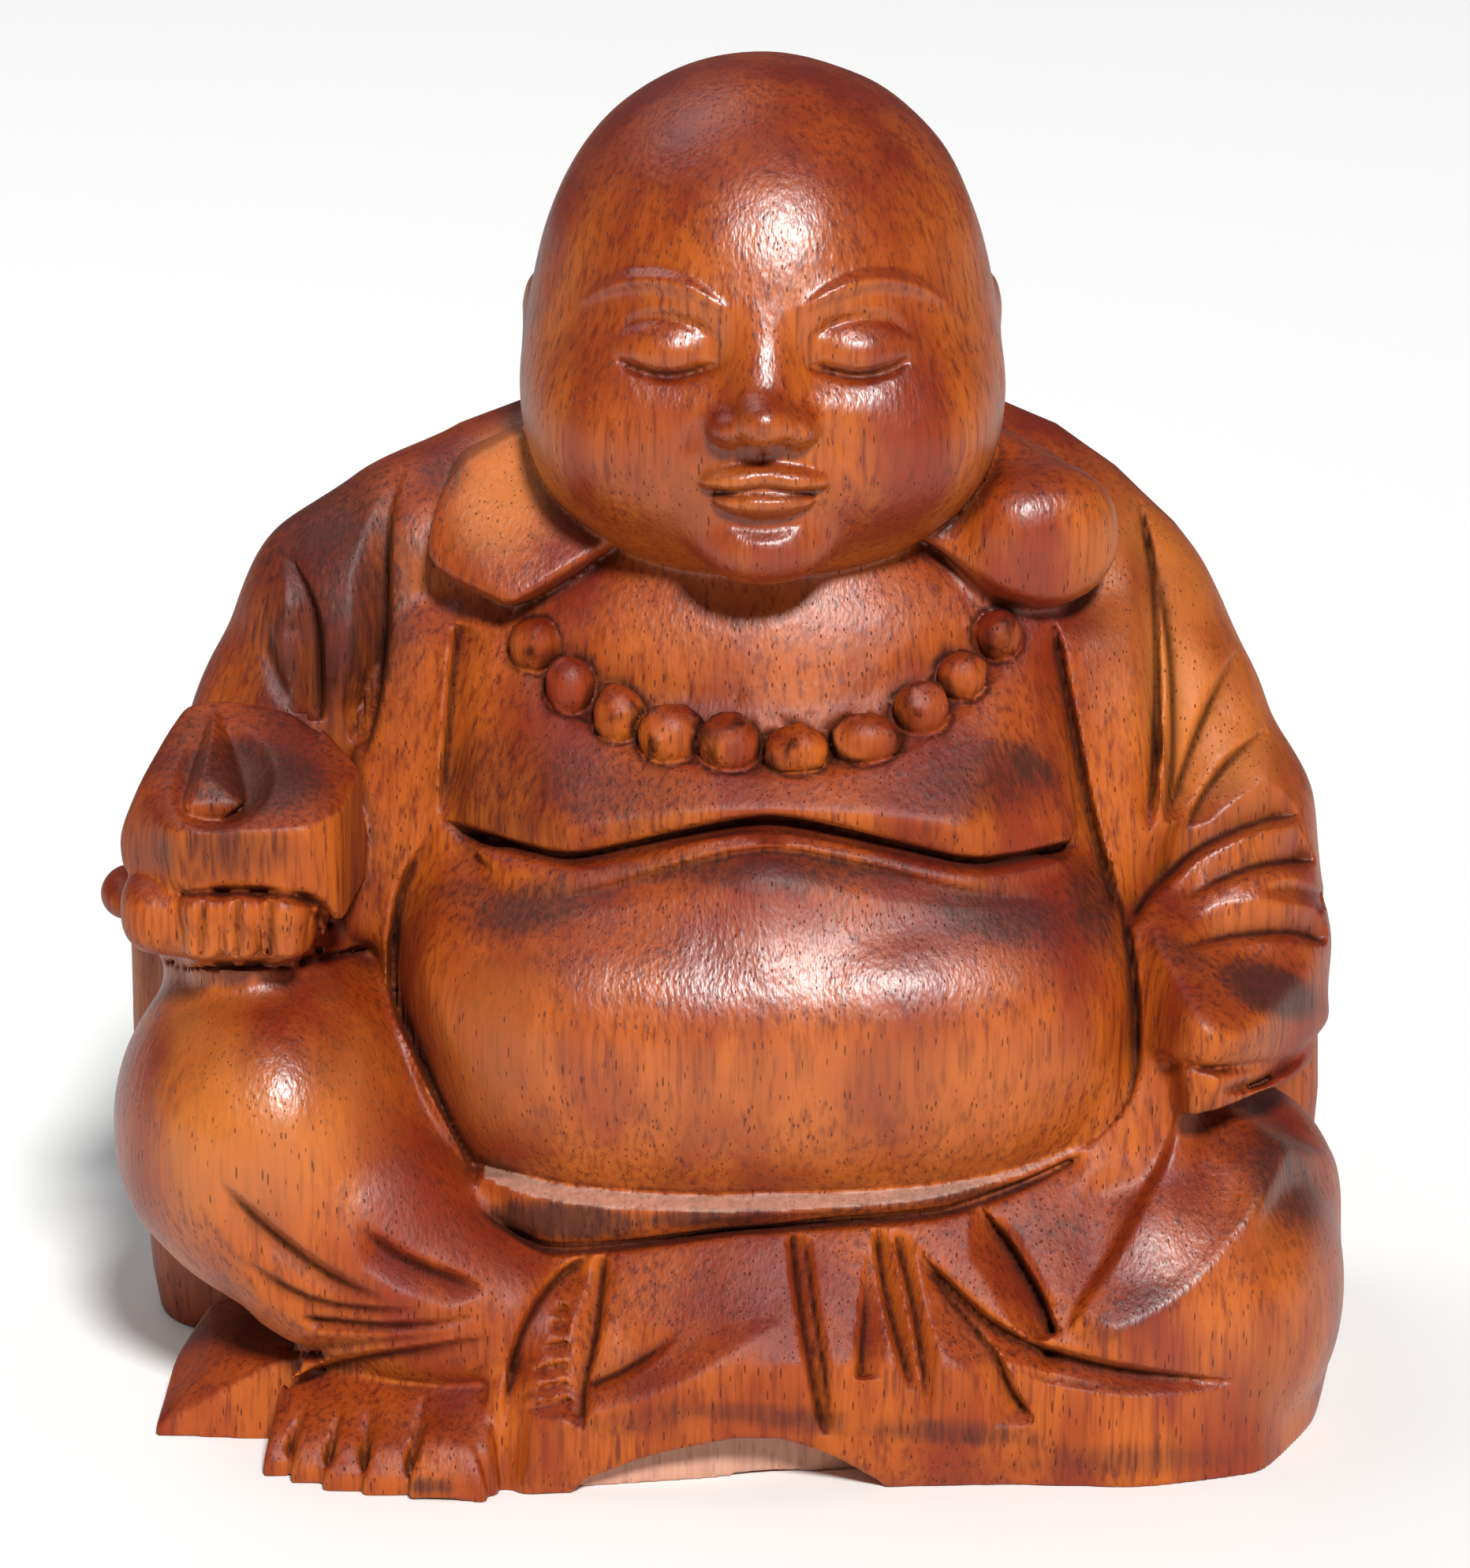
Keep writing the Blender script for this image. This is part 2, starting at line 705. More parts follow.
# %% Ears and their long lobes
for side in (-1, 1):
    join(ball((AXIS_X + side * 30.6, 4, 154), (2.9, 8.0, 11.5), (12, side * 5, 0)), 1.2)
    cut(ball((AXIS_X + side * 34.8, 2.5, 154.5), (2.6, 4.4, 7.0), (12, side * 5, 0)), 1.0)
LEFT_LOBE = (
    (-26.5, -6, 146.5),
    (-34.5, -8, 143.3),
    (-39.8, -12, 138.0),
    (-42.0, -14, 131.5),
    (-41.2, -15.5, 128.0),
    (-33.0, -22.0, 125.0),
    (-29.5, -23.0, 123.8),
    (-22.5, -22.0, 128.5),
    (-12, -18, 134),
    (-38, 5, 140),
    (-40.5, 2, 127),
    (-30.5, -8, 120.0),
    (-20, -8, 124),
    (-12, 0, 130),
    (-16, 5, 150),
)
RIGHT_LOBE = (
    (24, -18, 134),
    (33.5, -22.0, 128.5),
    (42.2, -23, 124.6),
    (46.5, -21.5, 123.6),
    (52.6, -17, 127.5),
    (54.2, -14, 131.3),
    (52.6, -11, 136.8),
    (48.2, -9, 141.2),
    (36.5, -6, 146.3),
    (49, 5, 140),
    (52, 2, 127.5),
    (44, -8, 120.0),
    (33, -8, 124),
    (24, 0, 130),
    (26, 5, 150),
)
RIGHT_PAD = ball((43.0, -11.5, 132.0), (11.2, 9.0, 9.8), (0, 0, 20), power=2.4)
lobes = []
for corners, arris in ((LEFT_LOBE, 1.6), (RIGHT_LOBE, 3.5)):
    lobes.append(faceted(*corners, arris=arris))
head = field
field = body
for lobe in lobes:
    join(lobe, 0.4)
join(RIGHT_PAD, 3)
field = soft_min(field, head, 0.5)

# %% [markdown]
# ## Hem arch and saw cut
# Under the hem the front is cut back in a low arch to the block's own sawn face, and the whole
# block is sawn off flat where it stands.

# %% Arch and saw cut
ARCH = ((-23.5, 3), (-19, 8.5), (-9.5, 12.0), (1, 14.3), (8, 14.2), (15, 11.4), (21.5, 6.5), (24.0, 2))
BASE_FACE = ((-25, -51.2), (25, -42.6))
turn_in = (BASE_FACE[1][1] - BASE_FACE[0][1]) / (BASE_FACE[1][0] - BASE_FACE[0][0])
corners = [(x, y, z) for x, z in ARCH for y in (-75, BASE_FACE[0][1] + turn_in * (x + 25))]
cut(faceted(*corners, arris=0.5), 0.5)
level = AXES[2][None, None, :]


def saw_flat():
    """Saws the block off at the ground."""
    np.maximum(field, GROUND - level, out=field)


saw_flat()

# %% [markdown]
# ## The hand's unevenness
# A knife never leaves a true ball or plane. A coarse lattice of random heights, blended smoothly
# between its points, moves the whole skin in and out by a fraction of a millimetre.

# %% Unevenness
hand = np.random.default_rng(8)
LATTICE = 9.0
UNEVEN = 0.15
knots = hand.normal(0, UNEVEN, size=[int((b - a) / LATTICE) + 3 for a, b in zip(START, END)])
near = np.argwhere(np.abs(field) < REACH)
place = near * (CELL / LATTICE)
base = place.astype(int)
share = place - base
share = share * share * (3 - 2 * share)
for corner in range(8):
    step = np.array([corner & 1, corner >> 1 & 1, corner >> 2 & 1])
    weight = np.where(step, share, 1 - share).prod(1)
    field[tuple(near.T)] += (weight * knots[tuple((base + step).T)]).astype(np.float32)

# %% [markdown]
# ## What the camera sees of the block
# To cut a crease where it was drawn, the script needs to know which cells lie just under the skin
# that the camera sees. It keeps the nearest wood in each small square of the drawing, and from
# then on works only on cells less than a few millimetres from it.

# %% Cells under the drawing
SQUARE = 8
DEEP = 4.8


def cells_in_view():
    """Indices of the cells near the seen skin, and where each falls on the drawing."""
    near = np.argwhere(np.abs(field) < DEEP)
    drawn, far = on_drawing(START + near * CELL)
    square = (drawn // SQUARE).astype(int)
    nearest = np.full((PHOTO[0] // SQUARE + 2, PHOTO[1] // SQUARE + 2), np.inf)
    solid = field[tuple(near.T)] < 0
    np.minimum.at(nearest, tuple(square[solid].T), far[solid])
    seen = far < nearest[tuple(square.T)] + DEEP + 1.5
    return tuple(near[seen].T), drawn[seen].astype(np.float32), nearest


front_cells, front_drawn, nearest = cells_in_view()
ink = np.zeros(COUNT, np.float32)
strokes = np.zeros(COUNT, np.float32)
print("cells in view:", len(front_drawn))


def wood_at(across, down):
    """The point of the skin that is drawn at a pixel."""
    far = nearest[int(across) // SQUARE, int(down) // SQUARE]
    aside = (across - PHOTO[0] / 2) * PIXEL_MM * far / DISTANCE
    above = (PHOTO[1] / 2 - down) * PIXEL_MM * far / DISTANCE
    return TARGET + FORWARD * (far - DISTANCE) + UP * above + np.array([aside, 0, 0])


def smooth_line(line, parts=3):
    """More points along a line, on a smooth curve through the given ones."""
    line = np.array(line, float)
    if len(line) < 3:
        return line
    padded = np.vstack([2 * line[0] - line[1], line, 2 * line[-1] - line[-2]])
    curve = []
    for a, b, c, d in zip(padded, padded[1:], padded[2:], padded[3:]):
        for t in np.arange(parts) / parts:
            square_term = (2 * a - 5 * b + 4 * c - d) * t**2
            cube_term = (3 * b - a - 3 * c + d) * t**3
            curve.append(0.5 * (2 * b + (c - a) * t + square_term + cube_term))
    return np.array([*curve, line[-1]])


FLOOR = 3.0  # how round a cut's floor is, in the drawing's pixels
POINTED = 0.7  # under 1, a cut's end is fuller than a straight taper
HOLLOW = 1.15  # over 1, a shelf sags a little
STAIN_REACH = 6.5  # how far dark finish lies round a cut's floor, in the drawing's pixels
FULL_STAIN = 1.6  # the depth in millimetres from which a cut is stained most


def carve(line, width=9, depth=1.0, shelf=0, ends=(0.3, 0.3), cells=None, drawn=None):
    """Cuts a V along a drawn line; with a shelf, the floor climbs slowly on the line's right.

    The width and the shelf are in the drawing's pixels, the depth is in millimetres and a negative
    depth raises a ridge. The ends say over what share of the length the cut runs out.
    """
    cells = front_cells if cells is None else cells
    drawn = front_drawn if drawn is None else drawn
    curve = smooth_line(line)
    margin = max(width, shelf)
    low, high = curve.min(0) - margin, curve.max(0) + margin
    picked = np.flatnonzero(((drawn > low) & (drawn < high)).all(1))
    spots = drawn[picked]
    lengths = np.hypot(*np.diff(curve, axis=0).T)
    total = lengths.sum()
    best = np.full(len(spots), np.inf)
    along = np.zeros(len(spots))
    right = np.zeros(len(spots), bool)
    walked = 0.0
    for a, b, length in zip(curve, curve[1:], lengths):
        across, down = (b - a) / length
        t = np.clip((spots[:, 0] - a[0]) * across + (spots[:, 1] - a[1]) * down, 0, length)
        dx, dy = spots[:, 0] - a[0] - t * across, spots[:, 1] - a[1] - t * down
        away = np.hypot(dx, dy)
        closer = away < best
        best = np.where(closer, away, best)
        along = np.where(closer, (walked + t) / total, along)
        right = np.where(closer, across * dy - down * dx > 0, right)
        walked += length
    reach = np.where(right & (shelf > 0), max(shelf, 1), width)
    eased = np.hypot(best, FLOOR) - FLOOR
    taper = np.ones(len(spots))
    for share, run in zip((along, 1 - along), ends):
        if run > 0:
            taper = np.minimum(taper, np.clip(share / run, 0, 1) ** POINTED)
    cut_share = np.clip(taper - eased / reach, 0, 1)
    if shelf > 0:
        cut_share = np.where(right, cut_share**HOLLOW, cut_share)
    where = tuple(axis[picked] for axis in cells)
    if depth < 0:
        strokes[where] += (depth * cut_share).astype(np.float32)
        return
    strokes[where] = np.maximum(strokes[where], (depth * cut_share).astype(np.float32))
    sharp = np.clip(1 - best / STAIN_REACH, 0, 1) * np.sqrt(cut_share)
    stained = min(depth / FULL_STAIN, 1) * (0.65 * sharp + 0.35 * cut_share**1.4)
    ink[where] = np.maximum(ink[where], stained.astype(np.float32))


# %% [markdown]
# ## Creases of the robe and the body
# The grid called ink remembers how near each cell is to a cut's floor, where stain gathered and the
# sanding paper never reached. Each crease below is drawn where the photograph has it. A plain cut
# is a V from a corner chisel. A cut with a shelf is two strokes, one straight in and one sloping up
# to it, and gives the look of cloth that laps over cloth. Numbers after a line are the cut's width,
# depth, shelf and ends.

# %% Chest, necklace bed and lapels
BEADS = (
    (677, 816, 63, 68),
    (723, 868, 62, 74),
    (785, 904, 65, 73),
    (849, 930, 80, 77),
    (925, 942, 79, 73),
    (1010, 948, 82, 62),
    (1097, 935, 85, 65),
    (1168, 897, 71, 71),
    (1219, 856, 62, 62),
    (1267, 803, 59, 65),
)
carve([(x, y + 4) for x, y, w, h in BEADS][::-1], 34, 1.7, 74, (0.05, 0.05))
ink[:] = 0
carve([(583, 790), (574, 870), (567, 960), (560, 1036)][::-1], 7, 1.5, 40, (0.2, 0.05))
carve([(1334, 786), (1350, 870), (1367, 960), (1386, 1052), (1415, 1160)], 7, 2.2, 36, (0.1, 0.05))
carve(
    [
        (556, 1040), (640, 1068), (721, 1086), (795, 1073), (880, 1052), (975, 1037), (1060, 1051),
        (1150, 1074), (1253, 1093), (1386, 1063),
    ],
    5, 1.3, 16, (0.05, 0.05),
)
carve(
    [(640, 1140), (746, 1131), (850, 1103), (975, 1079), (1100, 1101), (1232, 1131), (1330, 1138)],
    5, 1.1, 34, (0.3, 0.3),
)

# %% Belly
carve(
    [(551, 1050), (515, 1120), (501, 1190), (503, 1262), (530, 1330), (561, 1400), (600, 1480)][::-1],
    8, 2.2, 40, (0.3, 0.15),
)
carve(
    [
        (1386, 1060), (1412, 1120), (1428, 1180), (1438, 1260), (1440, 1340), (1430, 1390),
        (1403, 1430), (1366, 1458),
    ],
    6, 1.5, 20, (0.1, 0.35),
)
SASH_LOW = [
    (600, 1526), (642, 1557), (692, 1584), (753, 1584), (849, 1572), (933, 1559), (1059, 1551),
    (1200, 1537), (1307, 1499), (1375, 1462),
]
carve(SASH_LOW[::-1], 5, 1.2, 16, (0.15, 0.1))

# %% Lap and front of the robe
carve([(749, 1590), (696, 1634), (661, 1695), (646, 1756), (641, 1810)][::-1], 6, 2.4, 46, (0.3, 0.1))
carve([(768, 1588), (756, 1690), (742, 1756), (738, 1816)], 5, 2.4, 28, (0.1, 0.1))
carve([(747, 1758), (800, 1733), (858, 1694)][::-1], 8, 1.6, 60, (0.4, 0.05))
carve(
    [(1004, 1562), (1012, 1640), (1028, 1734), (1041, 1800), (1050, 1822)][::-1],
    5, 2.1, 24, (0.1, 0.05),
)
carve([(1020, 1568), (1030, 1648), (1046, 1751), (1055, 1806)], 4, 1.5, 0, (0.1, 0.2))
carve([(688, 1806), (760, 1792), (830, 1775), (925, 1716), (994, 1676)], 30, -0.8, 0, (0.2, 0.2))
carve([(1102, 1580), (1095, 1680), (1090, 1748)][::-1], 6, 1.9, 30, (0.02, 0.6))
carve([(1111, 1558), (1121, 1631), (1143, 1717), (1157, 1766)][::-1], 6, 2.4, 22, (0.15, 0.1))
carve([(1134, 1560), (1156, 1648), (1171, 1740), (1176, 1804)][::-1], 5, 2.2, 20, (0.3, 0.1))
carve(
    [(1160, 1582), (1198, 1640), (1241, 1691), (1264, 1724), (1280, 1762), (1311, 1804)],
    6, 2.7, 46, (0.3, 0.1),
)
carve(
    [
        (1162, 1588), (1192, 1622), (1241, 1668), (1280, 1694), (1326, 1714), (1412, 1736),
        (1497, 1747), (1568, 1752),
    ],
    8, 3.2, 30, (0.1, 0.3),
)
carve([(1275, 1728), (1326, 1746), (1412, 1760), (1482, 1762)], 5, 0.9, 0, (0.3, 0.3))
carve([(1238, 1526), (1284, 1589), (1318, 1648), (1337, 1694)], 6, 4.2, 46, (0.25, 0.03))
carve([(1358, 1688), (1412, 1606), (1454, 1529), (1488, 1461), (1498, 1388)], 12, -1.7, 90, (0.1, 0.2))

# %% Raised leg, robe corner and foot
carve([(278, 1499), (345, 1563), (417, 1616), (493, 1652)], 9, 2.2, 44, (0.2, 0.25))
carve([(455, 1556), (513, 1597), (613, 1635)], 9, 2.2, 36, (0.2, 0.2))
carve([(312, 1600), (393, 1646), (489, 1661), (540, 1662)], 6, 1.4, 30, (0.2, 0.3))
carve([(380, 1670), (480, 1680), (550, 1678), (605, 1668)], 6, 1.6, 16, (0.1, 0.4))
carve([(363, 1757), (439, 1726), (523, 1712), (600, 1700), (632, 1692)], 6, 1.5, 60, (0.1, 0.4))
carve([(345, 1712), (430, 1706), (520, 1696), (580, 1690)], 16, 0.9, 0, (0.3, 0.3))
TOE_LINES = (
    ((367, 1852), (371, 1822), (384, 1788)),
    ((416, 1862), (424, 1820), (431, 1780)),
    ((461, 1868), (464, 1830), (468, 1780)),
    ((518, 1868), (529, 1820), (539, 1760)),
)
for toe_line in TOE_LINES:
    carve(toe_line, 6, 1.2, 0, (0.25, 0.8))

# %% Sleeves
carve([(1442, 630), (1460, 720), (1466, 825), (1464, 950), (1456, 1056)], 9, 2.0, 24, (0.15, 0.1))
carve([(1448, 636), (1470, 740), (1484, 840), (1487, 960), (1476, 1050)][::-1], 9, 1.6, 60, (0.15, 0.4))
carve([(1569, 825), (1531, 900), (1505, 965), (1478, 1045)][::-1], 10, 2.6, 62, (0.2, 0.35))
carve([(1609, 926), (1560, 965), (1525, 1010), (1500, 1063)][::-1], 10, 2.6, 56, (0.2, 0.35))
carve(
    [(1646, 1032), (1610, 1038), (1560, 1055), (1515, 1078), (1480, 1107), (1450, 1140), (1428, 1178)],
    10, 2.8, 50, (0.12, 0.1),
)
carve([(1666, 1091), (1630, 1092), (1583, 1101), (1540, 1118), (1497, 1141)], 9, 2.2, 40, (0.12, 0.3))
carve([(1682, 1195), (1660, 1187), (1629, 1181), (1560, 1187), (1491, 1204)], 9, 2.2, 40, (0.12, 0.3))
carve([(1600, 1128), (1640, 1126), (1685, 1140)], 7, 0.9, 24, (0.3, 0.05))
carve([(1545, 1385), (1600, 1370), (1655, 1335)], 7, 1.2, 0, (0.2, 0.3))
carve([(366, 700), (397, 765), (406, 830), (404, 940)], 5, 3.6, 44, (0.4, 0.2))
carve([(514, 590), (494, 665), (489, 800), (479, 880), (462, 962)], 5, 3.2, 44, (0.4, 0.15))
carve([(340, 790), (352, 850), (380, 905)], 6, 1.0, 20, (0.3, 0.3))
carve([(567, 800), (561, 900), (556, 1000), (551, 1033)], 8, -0.5, 0, (0.2, 0.2))

# %% Fist and ingot
carve([(226, 1134), (296, 1131), (352, 1133), (404, 1146), (420, 1180)], 6, 1.2, 0, (0.1, 0.1))
FINGER_LINES = (
    ((258, 1142), (255, 1212)),
    ((301, 1142), (300, 1212)),
    ((343, 1142), (342, 1212)),
    ((403, 1155), (403, 1212)),
)
for finger_line in FINGER_LINES:
    carve(finger_line, 6, 1.0, 0, (0.05, 0.05))
carve([(205, 1216), (260, 1222), (330, 1222), (420, 1214), (470, 1200)], 6, 1.2, 0, (0.1, 0.2))

# %% Face
def on_face(*spots):
    """Points of the face, as offsets from its middle line and heights, on the drawing."""
    line = []
    for x, z in spots:
        column = np.array([[AXIS_X + x, y, z] for y in np.arange(-46, -10, 0.25)])
        index = ((column - START) / CELL).round().astype(int)
        line.append(on_drawing(column[[int(np.argmax(field[tuple(index.T)] < 0))]])[0][0])
    return line


for side in (-1, 1):
    def mirror(*spots):
        return on_face(*[(side * x, z) for x, z in spots])

    carve(
        mirror((4.6, 167.4), (9.5, 170.2), (15, 171.2), (20.5, 169.6), (25, 166.2)),
        14, -1.3, 0, (0.35, 0.35),
    )
    carve(
        mirror((5.6, 160.4), (9, 159.3), (12.8, 158.7), (16.6, 159.2), (20.0, 160.6)),
        8, 1.1, 0, (0.15, 0.15),
    )
    carve(mirror((5.8, 163.4), (9, 165.6), (13, 166.4), (17, 165.6), (20.4, 163.0)), 8, 0.6, 0, (0.2, 0.2))
    carve(mirror((7.4, 153.4), (10.5, 149.6), (12.0, 146.4)), 14, 0.5, 0, (0.3, 0.5))
carve(
    on_face(
        (-8.6, 143.9), (-4.5, 143.2), (-1.5, 143.5), (0, 143.3), (1.5, 143.5), (4.5, 143.2), (8.6, 143.9)
    ),
    7, 0.5, 0, (0.12, 0.12),
)
carve(on_face((0, 149.2), (0, 147.2)), 10, 0.5, 0, (0.2, 0.2))
carve(on_face((-5, 138.6), (0, 137.8), (5, 138.6)), 14, 0.5, 0, (0.3, 0.3))

# %% Tool marks behind the beads
for x, y, w, h in BEADS[1:-1]:
    for scratch in range(7):
        start = np.array([x + hand.uniform(-36, 36), y - hand.uniform(24, 46)])
        end = start + np.array([hand.normal(0, 4), -hand.uniform(14, 34)])
        carve([start, end], 5, hand.uniform(0.3, 0.7), 0, (0.02, 0.7))

# %% All strokes at once
field += strokes
strokes[:] = 0

# %% Notches of the crescent and nicks of the short gouge
# they are cut after the long strokes, so that they bite into the floors of those
NOTCHES = (
    ((700, 1662), (719, 1656)),
    ((694, 1683), (719, 1676)),
    ((686, 1708), (722, 1702)),
    ((674, 1739), (722, 1729)),
    ((668, 1764), (722, 1752)),
    ((662, 1787), (724, 1773)),
)
for notch in NOTCHES:
    carve(notch, 3, 1.1, 17, (0.6, 0.02))
NICKS = (
    ((1262, 1540), (1286, 1586)),
    ((1278, 1562), (1300, 1612)),
    ((1292, 1588), (1314, 1636)),
    ((1306, 1612), (1326, 1660)),
)
for nick in NICKS:
    carve(nick[::-1], 3, 0.9, 14, (0.02, 0.7))

# %% Beads
for x, y, w, h in BEADS:
    centre = wood_at(x, y) + np.array([0, -0.5, 0])
    radii = np.array([w, 0.42 * (w + h), h]) * PIXEL_MM * 0.54
    corners = hand.normal(size=(13, 3))
    corners /= np.linalg.norm(corners, axis=1)[:, None]
    join(faceted(*(centre + corners * radii * 1.12), arris=0.35), 0)
    bead = ball(centre, radii * 0.9)
    join(bead, 0)
    part, grid = window(bead[0], bead[1], 2)
    outside = bead[2](*grid)
    rim = 0.9 * np.clip(1 - np.abs(outside - 0.7) / 0.8, 0, 1)
    ink[part] = np.where(outside < 0.3, 0, np.maximum(ink[part], rim))

# %% [markdown]
# ## The back
# The photograph doesn't show it, so it is finished in keeping and plainer: the cloak falls in a few
# long folds from the shoulders.

# %% Folds of the back
rear = np.argwhere((np.abs(field) < DEEP))
rear_spots = START + rear * CELL
rear = rear[rear_spots[:, 1] > 14]
rear_drawn = (START + rear * CELL)[:, [0, 2]].astype(np.float32) / PIXEL_MM
rear_cells = tuple(rear.T)
BACK_FOLDS = (
    ((-28, 128), (-40, 100), (-50, 60), (-54, 22)),
    ((-8, 134), (-14, 100), (-20, 62), (-24, 30)),
    ((18, 134), (22, 104), (26, 70), (27, 40)),
    ((38, 127), (50, 98), (58, 60), (60, 26)),
    ((2, 60), (0, 36), (2, 10)),
)
for fold in BACK_FOLDS:
    carve(np.array(fold) / PIXEL_MM, 26, 1.6, 90, (0.35, 0.35), rear_cells, rear_drawn)
field += strokes
saw_flat()

# %% [markdown]
# ## Drawing the skin
# Surface nets turn the field into a mesh: every cell that the surface passes through gets one
# point, at the middle of the places where its edges are crossed, and points of neighbouring cells
# are joined into squares. It gives evener faces than marching cubes.

# %% Skin


def skin(values):
    """Points in millimetres and quads of the surface where the field is zero."""
    inside = values < 0
    shape = np.array(values.shape) - 1
    corners = [(i, j, k) for i in (0, 1) for j in (0, 1) for k in (0, 1)]

    def corner(array, offset):
        return array[tuple(slice(o, o + n) for o, n in zip(offset, shape))]

    total = sum(corner(inside, c).astype(np.int8) for c in corners)
    cells = np.argwhere((total > 0) & (total < 8))
    number = np.full(shape, -1, np.int32)
    number[tuple(cells.T)] = np.arange(len(cells))
    at_corner = {c: values[tuple((cells + c).T)] for c in corners}
    place = np.zeros((len(cells), 3))
    crossings = np.zeros(len(cells))
    for a in corners:
        for axis in range(3):
            if a[axis]:
                continue
            b = tuple(1 if i == axis else o for i, o in enumerate(a))
            va, vb = at_corner[a], at_corner[b]
            crossed = (va < 0) != (vb < 0)
            share = va[crossed] / (va[crossed] - vb[crossed])
            spot = np.array([a] * len(share), float)
            spot[:, axis] = share
            place[crossed] += spot
            crossings[crossed] += 1
    points = START + (cells + place / crossings[:, None]) * CELL
    quads = []
    for axis in range(3):
        u, v = (axis + 1) % 3, (axis + 2) % 3
        here = [slice(1, -1)] * 3
        here[axis] = slice(0, -1)
        there = list(here)
        there[axis] = slice(1, None)
        low, high = inside[tuple(here)], inside[tuple(there)]
        for starts_inside in (True, False):
            edges = np.argwhere((low != high) & (low == starts_inside))
            edges += [0 if i == axis else 1 for i in range(3)]
            ring = []
            for du, dv in ((0, 0), (-1, 0), (-1, -1), (0, -1)):
                step = np.zeros(3, int)
                step[u], step[v] = du, dv
                ring.append(number[tuple((edges + step).T)])
            quads.append(np.stack(ring if starts_inside else ring[::-1], 1))
    return points, np.concatenate(quads)


points, quads = skin(field)
print("skin:", len(points), "points,", len(quads), "quads")

# %% [markdown]
# ## Thinning, and what the field still knows
# The skin has more faces than a library part may have, so Decimate merges those that lie in a
# plane first and keeps the creases. Each point of the mesh then asks the field how open the air is
# two millimetres out from it. Finish and dust gather where it isn't, and the wood looks darker there.

# %% Mesh
MOST_TRIANGLES = 196000


def sample(array, spots):
    """Values of a grid at points in millimetres, blended between the eight nearest cells."""
    place = np.clip((spots - START) / CELL, 0, np.array(array.shape) - 1.001)
    base = place.astype(int)
    share = place - base
    total = 0.0
    for corner in range(8):
        step = np.array([corner & 1, corner >> 1 & 1, corner >> 2 & 1])
        weight = np.where(step, share, 1 - share).prod(1)
        total = total + weight * array[tuple((base + step).T)]
    return total


def mesh_of(name, points, faces):
    mesh = bpy.data.meshes.new(name)
    mesh.vertices.add(len(points))
    mesh.vertices.foreach_set("co", (points * MM).astype(np.float32).ravel())
    mesh.loops.add(faces.size)
    mesh.loops.foreach_set("vertex_index", faces.astype(np.int32).ravel())
    mesh.polygons.add(len(faces))
    mesh.polygons.foreach_set("loop_start", np.arange(0, faces.size, 4, dtype=np.int32))
    mesh.update(calc_edges=True)
    mesh.validate()
    return mesh


mesh = mesh_of(NODE, points, quads)
figure = bpy.data.objects.new("figure", mesh)
bpy.context.scene.collection.objects.link(figure)
thin = figure.modifiers.new("thin", "DECIMATE")
thin.ratio = min(1.0, MOST_TRIANGLES / (2 * len(quads)))
thinned = bpy.data.meshes.new_from_object(figure.evaluated_get(bpy.context.evaluated_depsgraph_get()))
figure.modifiers.clear()
figure.data = thinned
mesh = thinned
mesh.name = NODE
mesh.shade_smooth()
mesh.set_sharp_from_angle(angle=math.radians(52))
print("triangles:", sum(len(face.vertices) - 2 for face in mesh.polygons))

count = len(mesh.vertices)
spots = np.empty(count * 3, np.float32)
mesh.vertices.foreach_get("co", spots)
spots = spots.reshape(-1, 3) / MM
normals = np.empty(count * 3, np.float32)
mesh.vertices.foreach_get("normal", normals)
normals = normals.reshape(-1, 3)
shut = np.zeros(count)
for out in (1.2, 2.4, 4.0):
    shut += np.clip(1 - sample(field, spots + normals * out) / out, 0, 1) / 3
crevice = mesh.attributes.new("crevice", "FLOAT", "POINT")
crevice.data.foreach_set("value", shut.astype(np.float32))
creases = mesh.attributes.new("ink", "FLOAT", "POINT")
creases.data.foreach_set("value", sample(ink, spots).astype(np.float32))
print("crevice: mean %.2f, most %.2f" % (shut.mean(), shut.max()))

# %% [markdown]
# ## Dark heartwood
# The tree's dark heart runs through the block in a few soft streaks. They lie where the photograph
# shows them: on the sleeve, the chest, both knees and the hem.

# %% Streaks
STREAKS = (
    (1610, 1255, 75, 34, 20, 1.0),
    (1500, 1210, 60, 22, 30, 0.6),
    (1310, 975, 48, 20, 35, 0.9),
    (1625, 1490, 50, 90, -25, 0.8),
    (1385, 1150, 34, 70, -15, 0.8),
    (1560, 1440, 80, 30, 35, 0.6),
    (1440, 1660, 90, 30, -30, 0.5),
    (600, 1130, 60, 22, 0, 0.5),
    (690, 1010, 50, 26, -30, 0.4),
    (300, 1850, 40, 40, 0, 0.3),
    (545, 1885, 36, 14, 0, 0.8),
    (820, 1800, 120, 22, -8, 0.5),
    (1010, 1800, 120, 20, 6, 0.6),
    (1200, 1815, 130, 20, 4, 0.6),
    (1450, 1850, 170, 26, -3, 0.5),
    (1330, 1560, 60, 40, 0, 0.5),
    (860, 1640, 140, 50, 0, 0.35),
    (720, 1548, 110, 28, 4, 1.0),
    (900, 1545, 130, 14, -2, 0.8),
    (1160, 1520, 160, 14, -8, 0.7),
    (760, 1000, 150, 60, 12, 0.6),
    (1240, 985, 110, 60, -12, 0.6),
    (975, 1105, 230, 30, 0, 0.7),
    (680, 1150, 110, 40, -12, 0.7),
    (1270, 1160, 110, 44, 10, 0.7),
    (420, 770, 120, 210, 12, 0.8),
    (320, 985, 110, 56, 6, 1.0),
    (280, 1080, 120, 42, 0, 0.7),
    (240, 960, 70, 70, 0, 0.5),
    (640, 1000, 110, 90, 0, 0.5),
    (470, 1120, 60, 120, 20, 0.4),
    (1640, 900, 18, 90, -22, 0.8),
    (560, 600, 40, 40, 0, 0.5),
)
